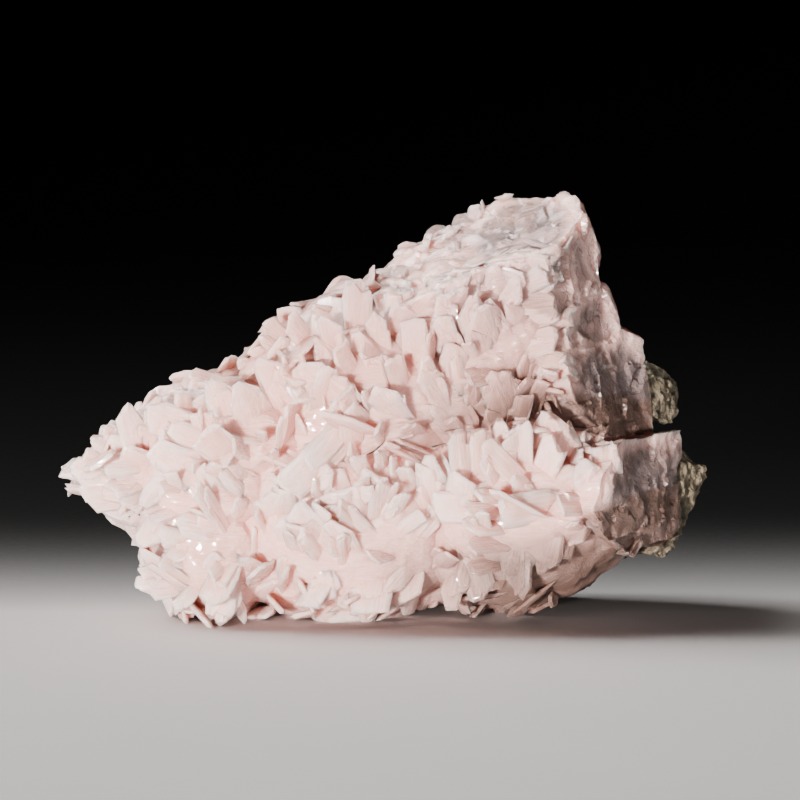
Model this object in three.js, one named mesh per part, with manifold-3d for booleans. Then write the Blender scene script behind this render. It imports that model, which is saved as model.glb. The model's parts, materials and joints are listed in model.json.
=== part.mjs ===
// Manganoan calcite cluster: a pale pink crust of bladed calcite crystals on a thin sheet of host rock,
// broken out of a vein. Millimetres, +X right along the longest side, +Y back from the crystal face,
// +Z up. The specimen lies on small flat places of its underside at z = 0.
import * as THREE from 'three';
import { mergeVertices } from 'three/addons/utils/BufferGeometryUtils.js';
import Module from 'manifold-3d';

const wasm = await Module();
wasm.setup();

// The front view: crystals are placed by x and by their height in a view that looks down by this angle
const VIEW_ELEVATION = THREE.MathUtils.degToRad(8);
const VIEW_FLOOR = 5;
const VIEW_DIRECTION = new THREE.Vector3(0, Math.cos(VIEW_ELEVATION), -Math.sin(VIEW_ELEVATION));

// Driving dimensions: a block larger than the specimen, the gap between calcite and rock, how deep a
// crystal is rooted, how far its tip stands out at least, and how far back it may fall for its length
const REACH = 400;
const PIECE_GAP = 0.3;
const ROOT_DEPTH = 4;
const LEAST_LIFT = 4;
const MOST_FALL = 0.3;
const SEED = 7127;

// Brings the middle of the specimen's outline over the origin
const ORIGIN_SHIFT = [1.1, 1.5, 0];

// A crystal's form as shares of its width: height of the ridge, depth of the back, how far the ridge
// and the point lie off the middle, and how far the two tip faces run back. The ridge falls to
// RIDGE_FALL of its height at the tip, and a crystal wider than BEVELLED_WIDTH has a bevelled tip.
const RIDGE_HEIGHT = [0.08, 0.24];
const BACK_DEPTH = 0.1;
const RIDGE_OFFSET = [-0.3, 0.3];
const POINT_OFFSET = [-0.35, 0.35];
const SHOULDER = [0.2, 0.8];
const RIDGE_FALL = [0.5, 0.8];
const BEVELLED_WIDTH = 11;

// Unevenness of the ground: how far apart its swells lie on the lumps and on the broken faces, and the
// number of facets along a side of a broken face
const SWELL_RADIUS = 60;
const SWELL_SPACING = 26;
const BREAK_SPACING = 31;
const BREAK_FACETS = 6;

// The massive calcite under the crystals: rounded lobes as centre, radii, tilt up to the right
const LOBES = {
  upper: { centre: [24, 12, 90], radii: [48, 41, 36], tilt: 34 },
  peak: { centre: [45, 4, 117], radii: [24, 27, 30], tilt: -8 },
  rightNeck: { centre: [56, 6, 98], radii: [20, 26, 19], tilt: -20 },
  upperRight: { centre: [66, 13, 80], radii: [36, 39, 18], tilt: -24 },
  middle: { centre: [-10, 12, 74], radii: [44, 44, 34], tilt: 25 },
  leftShoulder: { centre: [-54, 8, 60], radii: [36, 38, 20], tilt: 16 },
  leftMiddle: { centre: [-62, 4, 44], radii: [34, 36, 20], tilt: 0 },
  leftTip: { centre: [-84, 1, 51], radii: [21, 22, 11], tilt: 6 },
  lowerLeft: { centre: [-60, 2, 24], radii: [22, 35, 24], tilt: 0 },
  lowerMiddle: { centre: [-16, 4, 35], radii: [48, 42, 37], tilt: 0 },
  lowerRight: { centre: [42, 2, 37], radii: [43, 41, 33], tilt: 10 },
  rightEnd: { centre: [78, 0, 44], radii: [34, 38, 19], tilt: 6 },
};

// The bed that the crust grew on: inside both of these the calcite, outside them the host rock
const BEDS = {
  back: { centre: [-20, -18, 60], radii: [131, 56, 150], tilt: 0 },
  under: { centre: [-20, -10, 90], radii: [150, 90, 101], tilt: 0 },
};

// The outer side of the host rock, a sheet on the bed
const ROCK_BACK = { centre: [-8, -16, 58], radii: [145, 64, 150], tilt: 0 };
const ROCK_UNDER = { centre: [-20, -8, 88], radii: [152, 96, 106], tilt: 0 };

// The patches of the bed that the host rock still covers
const ROCK_PATCHES = {
  upper: { centre: [72, 26, 74], radii: [32, 30, 10], tilt: -10 },
  lower: { centre: [74, 14, 36], radii: [42, 44, 19], tilt: 4 },
  back: { centre: [20, 34, 60], radii: [62, 30, 40], tilt: 20 },
  foot: { centre: [28, 24, 18], radii: [44, 30, 26], tilt: 8 },
};

// Broken faces: a point on the face, the way it looks, its width and height, and how rough it is
const BREAKS = {
  rightUpper: { at: [62, -14, 110], facing: [0.814, -0.56, 0.152], size: [120, 100], rough: 2 },
  rightLower: { at: [81, -20, 42], facing: [0.82, -0.57, 0.02], size: [120, 62], rough: 2 },
  top: { at: [33, 0, 128], facing: [-0.309, -0.353, 0.883], size: [108, 90], rough: 2 },
  backLeft: { at: [-72, 25, 45], facing: [-0.22, 0.97, 0.08], size: [110, 120], rough: 2.5 },
};

// Crystals of the crust by area, chosen by eye: root x and height, tip x and height, width, turn of the
// broad face in degrees, and how far the tip stands out from the crust
const BLADES = {
  leftTip: [
    [-86, 52, -110, 53, 11, 15, 0], [-88, 46, -107, 43.5, 11, -20, 0], [-98, 56, -105.5, 59.5, 5, 10, 1],
    [-95, 60, -102.5, 64.5, 5, 30, 1], [-92, 62, -99, 68.5, 6, 10, 1], [-87, 58, -91, 76.5, 10, 20, 2],
    [-83, 58, -81, 79, 7, 10, 4], [-70, 68, -77.5, 70, 4, 20, 4], [-68, 70, -73, 80.5, 7, 20, 2],
    [-84, 50, -97, 47, 8, 25, 4], [-80, 56, -93, 60, 8, -15, 4], [-80, 47, -92, 41, 7, 10, 4],
    [-70, 60, -79, 66, 6, 30, 5], [-65, 63, -79.5, 54.5, 6, 20, 6], [-73, 44, -76, 53, 5, -25, 6],
    [-78, 66, -87, 68, 6, -30, 3], [-90, 50, -101, 56, 7, 20, 3],
  ],
  leftShoulder: [
    [-50, 84, -70, 86.5, 7, 35, 2], [-50, 60, -60, 85, 14, 0, 4], [-46, 66, -52, 84, 12, 25, 5],
    [-58, 56, -66, 74, 9, -15, 5], [-65, 64, -66, 76, 7, 70, 5], [-61, 56, -69, 54.5, 5, -30, 7],
    [-44, 58, -54, 62, 8, 20, 6], [-42, 60, -45, 67.5, 4, -20, 6], [-41, 55, -40.5, 62, 3.5, 20, 6],
    [-55, 66, -63, 66, 7, 30, 4], [-60, 76, -68, 78, 7, -20, 3], [-53, 70, -61, 74, 7, 30, 5],
    [-55, 48, -62, 57, 7, -30, 6], [-70, 50, -80, 48, 6, 35, 5],
  ],
  lowerLeft: [
    [-69, 23, -80, 22, 7, 10, 3], [-72, 14, -88, 13.5, 9, 20, 1], [-76, 18, -87, 18.5, 5, 20, 1],
    [-65, 16, -74.5, 5.5, 6, 20, 4], [-58, 22, -60, -6, 14, 0, 5], [-61, 34, -78, 25, 9, 15, 4],
    [-52, 29, -66.5, 48.5, 7, 35, 7], [-52, 28, -62, 17, 6, -20, 6], [-82, 24, -87, 20, 4, 0, 1],
    [-80, 30, -88, 31, 6, 20, 1], [-80, 36, -93, 37.5, 6, -15, 1], [-70, 42, -84, 37, 8, 20, 3],
    [-66, 30, -80, 32, 7, -25, 4], [-50, 12, -57, 6, 7, 30, 4], [-66, 8, -72, 2.5, 5, 20, 2],
  ],
  standing: [
    [-38, 6, -41, 47, 15, -12, 11], [-50, 5, -48, 25.5, 10, 18, 7], [-31, 17, -33, 35, 9, -35, 7],
    [-21, 20, -30, 6.5, 9, 20, 4], [-17, 14, -17, 6.5, 4, 0, 3], [-16, 12, -17, 33.5, 6, 25, 6],
    [-13, 35, -17, 47, 6, 0, 6], [-22, 43, -28, 50, 5, 20, 6], [-22, 24, -30, 37, 13, 20, 6],
    [-44, 30, -47, 40, 6, 60, 6], [-36, 8, -38, 20, 9, 35, 8], [-26, 30, -24, 42, 8, -25, 5],
  ],
  upperLeft: [
    [-44, 88, -53, 91, 5, 20, 1], [-41, 92, -49, 95.5, 5, -20, 1], [-38, 95, -46, 99.5, 5, 20, 1],
    [-36, 98, -43.5, 105, 6, 0, 1], [-34, 70, -41, 93, 16, -15, 6], [-29, 107, -31, 91, 7, 10, 6],
    [-30, 84, -38, 90, 6, 35, 5], [-29, 64, -22, 89, 7, 25, 10], [-10, 73, -37, 46, 12, -15, 8],
    [-8, 64, -17, 80, 11, 20, 6], [-28, 96, -36, 106, 8, 20, 2], [-20, 92, -22, 106, 9, -25, 4],
    [-40, 78, -46, 90, 6, 60, 5], [-20, 104, -26, 111.5, 7, 10, 2], [-22, 56, -30, 62, 6, 40, 6],
    [-12, 84, -19, 96, 8, 25, 5],
  ],
  upperMiddle: [
    [-13, 98, -13.5, 118.5, 8, 10, 4], [4, 99, 10, 119, 18, 5, 9], [23, 87, 16, 106, 8, -25, 7],
    [37, 84, 27, 108.5, 12, 12, 8], [42, 88, 24.5, 84, 9, 30, 7], [42, 103, 32.5, 108, 5, 20, 6],
    [29, 88, 25, 98, 5, -25, 6], [2, 78, -4.5, 92, 6, 65, 7], [9.5, 64, 0, 92, 8, 25, 8],
    [27.5, 64, 8, 91, 9, 12, 8], [-4, 94, -6, 108, 8, -30, 5], [20, 100, 22, 116, 8, 30, 4],
    [-2, 106, -6, 122, 8, 20, 3], [-16, 74, -19, 86, 7, -25, 5], [-4, 72, -10, 82, 7, 30, 5],
    [18, 78, 12, 88, 7, -20, 6], [30, 74, 26, 84, 6, 30, 5],
  ],
  centre: [
    [-10, 57, -15.5, 61.5, 5, 20, 6], [-6, 48, -13, 59.5, 6, 20, 7], [10, 46, 3, 55.5, 6, -20, 7],
    [14, 33, 11, 59, 11, -18, 11], [23, 36, 21, 69, 8, 30, 8], [30, 48, 28, 68.5, 7, 20, 7],
    [51, 45, 30, 63, 8, 15, 8], [36, 47, 31, 58.5, 6, 30, 7], [0, 60, -6, 69, 7, 30, 5],
    [12, 62, 4, 70, 7, -25, 5], [-2, 52, -5, 62, 6, 40, 6], [38, 58, 36, 72, 7, -25, 5],
  ],
  lowerMiddle: [
    [-8, 32, -18, 44, 7, 35, 6], [-7, 32, -11, 51, 8, 40, 7], [-4, 32, -3, 51, 8, 35, 7],
    [-2, 32, 4, 46, 7, 40, 6], [-4, 26, 10.5, 39.5, 6, 20, 7], [14, 14, 20, 26, 7, 20, 6],
    [-5, 18, -9, 4.5, 15, 15, 4], [8, 20, 2, 6, 12, 25, 3], [22, 20, 18, 6, 9, 30, 2],
    [26, 28, 24, 12, 8, -20, 3], [2, 26, -8, 24, 8, 30, 4], [-12, 26, -22, 28, 7, 20, 4],
  ],
  crest: [
    [43, 68, 35, 88, 15, 12, 5], [40, 64, 45, 80, 7, 20, 7], [44, 71, 51, 85, 6, 25, 6],
    [49, 73, 54, 87, 7, 20, 5], [54, 73, 61, 91, 7, 20, 4], [45, 54, 44, 71, 7, -22, 7],
    [52, 58, 55, 74, 13, 15, 5], [62, 56, 62, 71, 12, 20, 4], [72, 55, 72, 67.5, 11, 20, 2],
    [50, 50, 56, 66, 10, -20, 6], [40, 54, 40, 66, 7, 30, 6], [63, 44, 66, 58, 10, 20, 4],
  ],
  rosette: [
    [42, 40, 24, 40.5, 8, 38, 8], [42, 34, 24, 34.5, 8, 35, 9], [42, 28, 25, 28, 8, 38, 9],
    [42, 22, 26, 21, 8, 30, 7], [41, 45, 28, 46, 7, 40, 8], [32, 26, 30, 39.5, 5, -20, 10],
    [52, 38, 44, 16, 20, 5, 6], [51, 41, 40, 52, 7, 20, 7], [67, 30, 60, 36, 6, -30, 5],
    [68, 35, 61, 28, 5, 30, 5], [38, 18, 30, 11, 8, 20, 4], [62, 34, 56, 22, 9, -20, 5],
    [66, 40, 56, 42, 8, 25, 5],
  ],
  upperRight: [
    [30, 122, 55, 124, 14, 12, 4], [34, 118, 57, 117, 9, -20, 3], [36, 130, 53, 131, 9, 20, 3],
    [42, 104, 56, 110, 11, 20, 3], [40, 94, 56, 99, 10, -20, 3], [46, 96, 41, 112, 9, 20, 5],
    [34, 104, 44, 118, 8, -25, 3], [24, 112, 27, 126, 10, 15, 2], [46, 84, 52, 97, 8, 25, 4],
  ],
};

// Small crystals spread over the rest of the crust: how many, how far apart, and their size. They grow
// on the left shoulder, which ends at SHOULDER_END, and on the underside.
const FILLERS = { count: 10, tries: 6000, spacing: 17, length: [11, 16], width: [7, 11], lean: 1.1 };
const SHOULDER_END = -45;

// A repeatable sequence of numbers from 0 to 1
function dice(seed) {
  let state = seed;
  return () => {
    state = (state * 16807) % 2147483647;
    return state / 2147483647;
  };
}

function between([least, most], share) {
  return least + share * (most - least);
}

// A closed geometry as a solid that can be joined and cut
function solidOf(geometry) {
  const bare = geometry.index ? geometry : geometry.clone();
  bare.deleteAttribute('normal');
  bare.deleteAttribute('uv');
  const merged = mergeVertices(bare, 1e-4);
  return new wasm.Manifold(new wasm.Mesh({
    numProp: 3,
    vertProperties: new Float32Array(merged.attributes.position.array),
    triVerts: new Uint32Array(merged.index.array),
  }));
}

// The geometry of a joined solid
function geometryOf(solid) {
  const mesh = solid.getMesh();
  const geometry = new THREE.BufferGeometry();
  geometry.setAttribute('position', new THREE.BufferAttribute(new Float32Array(mesh.vertProperties), 3));
  geometry.setIndex(new THREE.BufferAttribute(new Uint32Array(mesh.triVerts), 1));
  geometry.computeVertexNormals();
  return geometry;
}

function joined(solids) {
  return solids.reduce((whole, solid) => whole.add(solid));
}

// Uneven ground: a slow ripple in all directions, from -1 to 1
function ripple(point, wavelength) {
  const k = (2 * Math.PI) / wavelength;
  return (
    Math.sin(k * (point.x + 0.4 * point.z) + 1.3) +
    Math.sin(k * 1.37 * (point.y - 0.3 * point.x) + 4.1) +
    Math.sin(k * 0.83 * (point.z + 0.5 * point.y) + 2.6)
  ) / 3;
}

function lobeFrame(lobe) {
  const turn = new THREE.Matrix4().makeRotationY(THREE.MathUtils.degToRad(-lobe.tilt));
  const place = new THREE.Matrix4().makeTranslation(...lobe.centre);
  return place.multiply(turn);
}

// A rounded, rippled lump: grown by a distance all round, with its unevenness kept
function lump(lobe, detail, unevenness, grown = 0) {
  const geometry = new THREE.IcosahedronGeometry(1, detail);
  const frame = lobeFrame(lobe);
  const radii = new THREE.Vector3(...lobe.radii).addScalar(grown);
  const places = geometry.attributes.position;
  const unit = new THREE.Vector3();
  const place = new THREE.Vector3();
  for (let i = 0; i < places.count; i += 1) {
    unit.fromBufferAttribute(places, i).normalize();
    const swell = unevenness * ripple(place.copy(unit).multiplyScalar(SWELL_RADIUS), SWELL_SPACING);
    place.copy(unit).multiply(radii).addScaledVector(unit, swell);
    place.applyMatrix4(frame);
    places.setXYZ(i, place.x, place.y, place.z);
  }
  return solidOf(geometry);
}

// A block whose lower face is a rough break, looking away from what is left
function breakBlock({ at, facing, size, rough }) {
  const [width, height] = size;
  const geometry = new THREE.BoxGeometry(width, height, width, BREAK_FACETS, BREAK_FACETS, 1);
  const places = geometry.attributes.position;
  const outward = new THREE.Vector3(...facing).normalize();
  const side = new THREE.Vector3(0, 0, 1).cross(outward).normalize();
  const up = outward.clone().cross(side);
  const frame = new THREE.Matrix4().makeBasis(side, up, outward).setPosition(...at);
  const place = new THREE.Vector3();
  for (let i = 0; i < places.count; i += 1) {
    place.fromBufferAttribute(places, i);
    place.z += width / 2;
    const onFace = place.z < 1;
    place.applyMatrix4(frame);
    if (onFace) place.addScaledVector(outward, rough * ripple(place, BREAK_SPACING));
    places.setXYZ(i, place.x, place.y, place.z);
  }
  return solidOf(geometry);
}

// Where a line of sight of the front view first meets the lobes, and the way the surface looks there
function surfaceAt(x, height) {
  const start = new THREE.Vector3(x, 0, (height - VIEW_FLOOR) / Math.cos(VIEW_ELEVATION));
  let best = null;
  for (const lobe of Object.values(LOBES)) {
    const frame = lobeFrame(lobe);
    const inverse = frame.clone().invert();
    const radii = new THREE.Vector3(...lobe.radii);
    const from = start.clone().applyMatrix4(inverse).divide(radii);
    const along = VIEW_DIRECTION.clone().transformDirection(inverse);
    const step = along.clone().divide(radii);
    const a = step.lengthSq();
    const b = from.dot(step);
    const inside = b * b - a * (from.lengthSq() - 1);
    const miss = Math.sqrt(Math.max(0, -inside / a));
    const distance = (-b - Math.sqrt(Math.max(0, inside))) / a;
    const better = !best || (miss < best.miss - 1e-9) || (miss === best.miss && distance < best.distance);
    if (better) {
      const unit = from.addScaledVector(step, distance);
      const outward = unit.clone().divide(radii).transformDirection(frame);
      best = { miss, distance, outward };
    }
  }
  const point = start.addScaledVector(VIEW_DIRECTION, best.distance);
  return { point, outward: best.outward, distance: best.distance };
}

// A plane as its normal and how far out it lies; inside is the side of the given point
function planeThrough(a, b, c, inside) {
  const normal = b.clone().sub(a).cross(c.clone().sub(a)).normalize();
  if (normal.dot(inside) > normal.dot(a)) normal.negate();
  return { normal, reach: normal.dot(a) };
}

// The planes of one flat crystal along +X: two faces that meet in a low ridge, a back, a root, two tip
// faces that meet in a point off the middle, and a bevel on the wide ones
function bladePlanes(length, width, roll) {
  const half = width / 2;
  const crownHeight = width * between(RIDGE_HEIGHT, roll());
  const backDepth = width * BACK_DEPTH;
  const ridge = width * between(RIDGE_OFFSET, roll());
  const point = width * between(POINT_OFFSET, roll());
  const shoulderLeft = length - width * between(SHOULDER, roll());
  const shoulderRight = length - width * between(SHOULDER, roll());
  const fall = between(RIDGE_FALL, roll());
  const heart = new THREE.Vector3(length / 2, 0, 0);
  const spot = (u, v, w) => new THREE.Vector3(u, v, w);
  const crown = spot(0, ridge, crownHeight);
  const brow = spot(length, ridge, crownHeight * fall);
  const tip = spot(length, point, 0);
  const browTip = spot(length - 0.5, point, crownHeight);
  const planes = [
    planeThrough(crown, brow, spot(0, -half, 0), heart),
    planeThrough(crown, brow, spot(0, half, 0), heart),
    planeThrough(spot(0, half, -backDepth), spot(length, 0, 0), spot(0, -half, -backDepth), heart),
    planeThrough(tip, spot(shoulderLeft, -half, 0), browTip, heart),
    planeThrough(tip, spot(shoulderRight, half, 0), browTip, heart),
    planeThrough(spot(0, 0, 0), spot(0, 1, 0), spot(0, 0, 1), heart),
  ];
  if (width > BEVELLED_WIDTH) {
    const top = spot(length * 0.8, 0, crownHeight * 0.8);
    const beside = spot(length * 0.8, 1, crownHeight * 0.8);
    planes.push(planeThrough(top, beside, spot(length * 1.02, 0, -backDepth), heart));
  }
  return planes;
}

// The closed geometry that a list of planes encloses
function geometryInside(planes, frame) {
  const corners = [];
  const meet = new THREE.Vector3();
  for (let i = 0; i < planes.length; i += 1) {
    for (let j = i + 1; j < planes.length; j += 1) {
      for (let k = j + 1; k < planes.length; k += 1) {
        const [a, b, c] = [planes[i], planes[j], planes[k]];
        const volume = a.normal.dot(meet.copy(b.normal).cross(c.normal));
        if (Math.abs(volume) < 1e-6) continue;
        const corner = b.normal.clone().cross(c.normal).multiplyScalar(a.reach)
          .add(c.normal.clone().cross(a.normal).multiplyScalar(b.reach))
          .add(a.normal.clone().cross(b.normal).multiplyScalar(c.reach))
          .divideScalar(volume);
        const kept = planes.every((plane) => plane.normal.dot(corner) < plane.reach + 1e-6);
        const isNew = corners.every((other) => other.distanceTo(corner) > 1e-4);
        if (kept && isNew) corners.push(corner);
      }
    }
  }
  const triangles = [];
  for (const plane of planes) {
    const rim = corners.map((corner, index) => ({ corner, index }))
      .filter(({ corner }) => Math.abs(plane.normal.dot(corner) - plane.reach) < 1e-4);
    if (rim.length < 3) continue;
    const middle = rim.reduce((sum, { corner }) => sum.add(corner), new THREE.Vector3())
      .divideScalar(rim.length);
    const right = rim[0].corner.clone().sub(middle).normalize();
    const up = plane.normal.clone().cross(right);
    for (const spot of rim) {
      const arm = spot.corner.clone().sub(middle);
      spot.angle = Math.atan2(arm.dot(up), arm.dot(right));
    }
    rim.sort((a, b) => a.angle - b.angle);
    for (let i = 1; i < rim.length - 1; i += 1) triangles.push(rim[0].index, rim[i].index, rim[i + 1].index);
  }
  const geometry = new THREE.BufferGeometry();
  geometry.setAttribute('position', new THREE.Float32BufferAttribute(corners.flatMap((c) => c.toArray()), 3));
  geometry.setIndex(triangles);
  return geometry.applyMatrix4(frame);
}

// One crystal from its root to its tip, its broad face turned from the way it looks
function blade(root, tip, width, looks, turn, roll) {
  const axis = tip.clone().sub(root);
  const length = axis.length();
  axis.normalize();
  const face = looks.clone().addScaledVector(axis, -looks.dot(axis)).normalize();
  face.applyAxisAngle(axis, THREE.MathUtils.degToRad(turn));
  const across = face.clone().cross(axis);
  const frame = new THREE.Matrix4().makeBasis(axis, across, face).setPosition(root);
  return solidOf(geometryInside(bladePlanes(length, width, roll), frame));
}

// The crystals that are placed one by one in the front view
function namedBlades(roll) {
  const towardsViewer = VIEW_DIRECTION.clone().negate();
  return Object.values(BLADES).flat().map(([rootX, rootHeight, tipX, tipHeight, width, turn, lift]) => {
    const base = surfaceAt(rootX, rootHeight);
    const end = surfaceAt(tipX, tipHeight);
    const span = Math.hypot(tipX - rootX, tipHeight - rootHeight);
    const falloff = Math.max(0, end.distance - base.distance - MOST_FALL * span);
    const root = base.point.addScaledVector(base.outward, -ROOT_DEPTH);
    const tip = end.point.addScaledVector(VIEW_DIRECTION, -falloff - lift - LEAST_LIFT);
    return blade(root, tip, width, towardsViewer, turn, roll);
  });
}

// Small crystals on the left side and low on the right, where the front view sees little
function fillerBlades(roll) {
  const lobes = Object.values(LOBES);
  const placed = [];
  const solids = [];
  let tries = 0;
  while (solids.length < FILLERS.count && tries < FILLERS.tries) {
    tries += 1;
    const lobe = lobes[Math.floor(roll() * lobes.length)];
    const frame = lobeFrame(lobe);
    const height = 2 * roll() - 1;
    const angle = 2 * Math.PI * roll();
    const ring = Math.sqrt(1 - height * height);
    const unit = new THREE.Vector3(ring * Math.cos(angle), ring * Math.sin(angle), height);
    const radii = new THREE.Vector3(...lobe.radii);
    const place = unit.clone().multiply(radii).applyMatrix4(frame);
    const outward = unit.divide(radii).transformDirection(frame);
    const lean = new THREE.Vector3(roll() - 0.5, roll() - 0.5, roll() - 0.5);
    const size = roll();
    const turn = 180 * roll();
    const buried = lobes.some((other) => other !== lobe && inLobe(other, place));
    const facesViewer = outward.y < -0.75;
    const broken = outward.x > 0.5 || outward.y > 0.3;
    const onTop = outward.z > 0 && place.x > SHOULDER_END;
    const below = outward.z < -0.3;
    const close = placed.some((other) => other.distanceTo(place) < FILLERS.spacing);
    if (buried || facesViewer || broken || onTop || below || close) continue;
    placed.push(place);
    const axis = outward.clone().addScaledVector(lean, FILLERS.lean).normalize();
    const root = place.clone().addScaledVector(outward, -ROOT_DEPTH);
    const tip = root.clone().addScaledVector(axis, between(FILLERS.length, size));
    solids.push(blade(root, tip, between(FILLERS.width, size), axis.clone().cross(lean), turn, roll));
  }
  return solids;
}

function inLobe(lobe, place) {
  const unit = place.clone().applyMatrix4(lobeFrame(lobe).invert()).divide(new THREE.Vector3(...lobe.radii));
  return unit.lengthSq() < 1;
}

function bed(grown) {
  return lump(BEDS.back, 6, 2.5, grown).intersect(lump(BEDS.under, 6, 2.5, grown));
}

// Everything below the surface that the specimen lies on
function floorBlock() {
  return solidOf(new THREE.BoxGeometry(REACH, REACH, 40).translate(0, 0, -20));
}

function calciteCluster() {
  const roll = dice(SEED);
  const mass = joined(Object.values(LOBES).map((lobe) => lump(lobe, 1, 1.2)));
  const crystals = joined([...namedBlades(roll), ...fillerBlades(roll)]);
  let crust = mass.add(crystals).intersect(bed(0));
  for (const cut of Object.values(BREAKS)) crust = crust.subtract(breakBlock(cut));
  return crust.subtract(floorBlock());
}

function hostRock() {
  const patches = joined(Object.values(ROCK_PATCHES).map((lobe) => lump(lobe, 3, 3)));
  const outside = lump(ROCK_BACK, 6, 4).intersect(lump(ROCK_UNDER, 6, 3));
  let rock = patches.intersect(outside).subtract(bed(PIECE_GAP));
  for (const cut of Object.values(BREAKS)) rock = rock.subtract(breakBlock(cut));
  return rock.subtract(floorBlock());
}

function piece(name, solid, color, roughness) {
  const material = new THREE.MeshStandardMaterial({ color, roughness, metalness: 0 });
  const mesh = new THREE.Mesh(geometryOf(solid), material);
  mesh.name = name;
  return mesh;
}

const cluster = new THREE.Group();
cluster.position.set(...ORIGIN_SHIFT);
cluster.add(piece('calcite_cluster', calciteCluster(), 0xe8c6bf, 0.45));
cluster.add(piece('host_rock', hostRock(), 0x6f6a58, 0.9));

export default cluster;
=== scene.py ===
# Manganoan calcite cluster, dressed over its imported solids: each crystal is a bundle of thin plates, the
# ground between them is covered with small ones, the broken sides are glassy and the host rock granular.
import functools
import itertools
import json
import math

import bmesh
import bpy
import numpy as np
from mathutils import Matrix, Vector, noise

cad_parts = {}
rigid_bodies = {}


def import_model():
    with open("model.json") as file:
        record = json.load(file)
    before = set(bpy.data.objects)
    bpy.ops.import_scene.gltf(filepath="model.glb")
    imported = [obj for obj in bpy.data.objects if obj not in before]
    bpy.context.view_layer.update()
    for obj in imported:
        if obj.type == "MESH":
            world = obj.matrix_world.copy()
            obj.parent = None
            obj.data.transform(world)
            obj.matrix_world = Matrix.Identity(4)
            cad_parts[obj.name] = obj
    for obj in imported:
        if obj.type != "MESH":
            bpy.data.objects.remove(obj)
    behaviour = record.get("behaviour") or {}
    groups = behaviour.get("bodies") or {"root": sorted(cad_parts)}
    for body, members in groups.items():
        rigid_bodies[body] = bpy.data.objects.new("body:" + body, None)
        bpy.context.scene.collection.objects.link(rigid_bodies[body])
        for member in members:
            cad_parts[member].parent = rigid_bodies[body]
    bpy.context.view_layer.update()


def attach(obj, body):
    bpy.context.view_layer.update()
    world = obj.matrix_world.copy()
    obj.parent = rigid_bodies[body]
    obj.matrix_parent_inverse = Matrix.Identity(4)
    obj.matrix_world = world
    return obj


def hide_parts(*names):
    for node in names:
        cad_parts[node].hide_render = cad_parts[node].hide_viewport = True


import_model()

# Shapes are worked out in millimetres, as the solids are, and end in the frame's metres
METRE = 0.001

# The front view: crystals are placed by x and by their height in a view that looks down by this angle
VIEW_ELEVATION = math.radians(8)
VIEW_FLOOR = 5.0
VIEW_DIRECTION = np.array([0.0, math.cos(VIEW_ELEVATION), -math.sin(VIEW_ELEVATION)])

# Driving dimensions, the same as the solids have
REACH = 400.0
PIECE_GAP = 0.3
ROOT_DEPTH = 4.0
LEAST_LIFT = 4.0
MOST_FALL = 0.3
SEED = 7127
ORIGIN_SHIFT = np.array([1.1, 1.5, 0.0])
SWELL_RADIUS = 60.0
SWELL_SPACING = 26.0
BREAK_SPACING = 31.0
BREAK_FACET = 3.5

# The massive calcite under the crystals: rounded lobes as centre, radii, tilt up to the right
LOBES = {
    "upper": ((24, 12, 90), (48, 41, 36), 34),
    "peak": ((45, 4, 117), (24, 27, 30), -8),
    "right_neck": ((56, 6, 98), (20, 26, 19), -20),
    "upper_right": ((66, 13, 80), (36, 39, 18), -24),
    "middle": ((-10, 12, 74), (44, 44, 34), 25),
    "left_shoulder": ((-54, 8, 60), (36, 38, 20), 16),
    "left_middle": ((-62, 4, 44), (34, 36, 20), 0),
    "left_tip": ((-84, 1, 51), (21, 22, 11), 6),
    "lower_left": ((-60, 2, 24), (22, 35, 24), 0),
    "lower_middle": ((-16, 4, 35), (48, 42, 37), 0),
    "lower_right": ((42, 2, 37), (43, 41, 33), 10),
    "right_end": ((78, 0, 44), (34, 38, 19), 6),
}

# The bed that the crust grew on: inside both of these the calcite, outside them the host rock
BEDS = {
    "back": ((-20, -18, 60), (131, 56, 150), 0),
    "under": ((-20, -10, 90), (150, 90, 101), 0),
}

# The outer side of the host rock, and the patches of the bed that it still covers
ROCK_BACK = ((-8, -16, 58), (145, 64, 150), 0)
ROCK_UNDER = ((-20, -8, 88), (152, 96, 106), 0)
ROCK_PATCHES = {
    "upper": ((72, 26, 74), (32, 30, 10), -10),
    "lower": ((74, 14, 36), (42, 44, 19), 4),
    "back": ((20, 34, 60), (62, 30, 40), 20),
    "foot": ((28, 24, 18), (44, 30, 26), 8),
}

# Broken faces: a point on the face, the way it looks, its width and height, and how rough it is
BREAKS = {
    "right_upper": ((62, -14, 110), (0.814, -0.56, 0.152), (120, 100), 2.0),
    "right_lower": ((81, -20, 42), (0.82, -0.57, 0.02), (120, 62), 2.0),
    "top": ((33, 0, 128), (-0.309, -0.353, 0.883), (108, 90), 2.0),
    "back_left": ((-72, 25, 45), (-0.22, 0.97, 0.08), (110, 120), 2.5),
}

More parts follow.
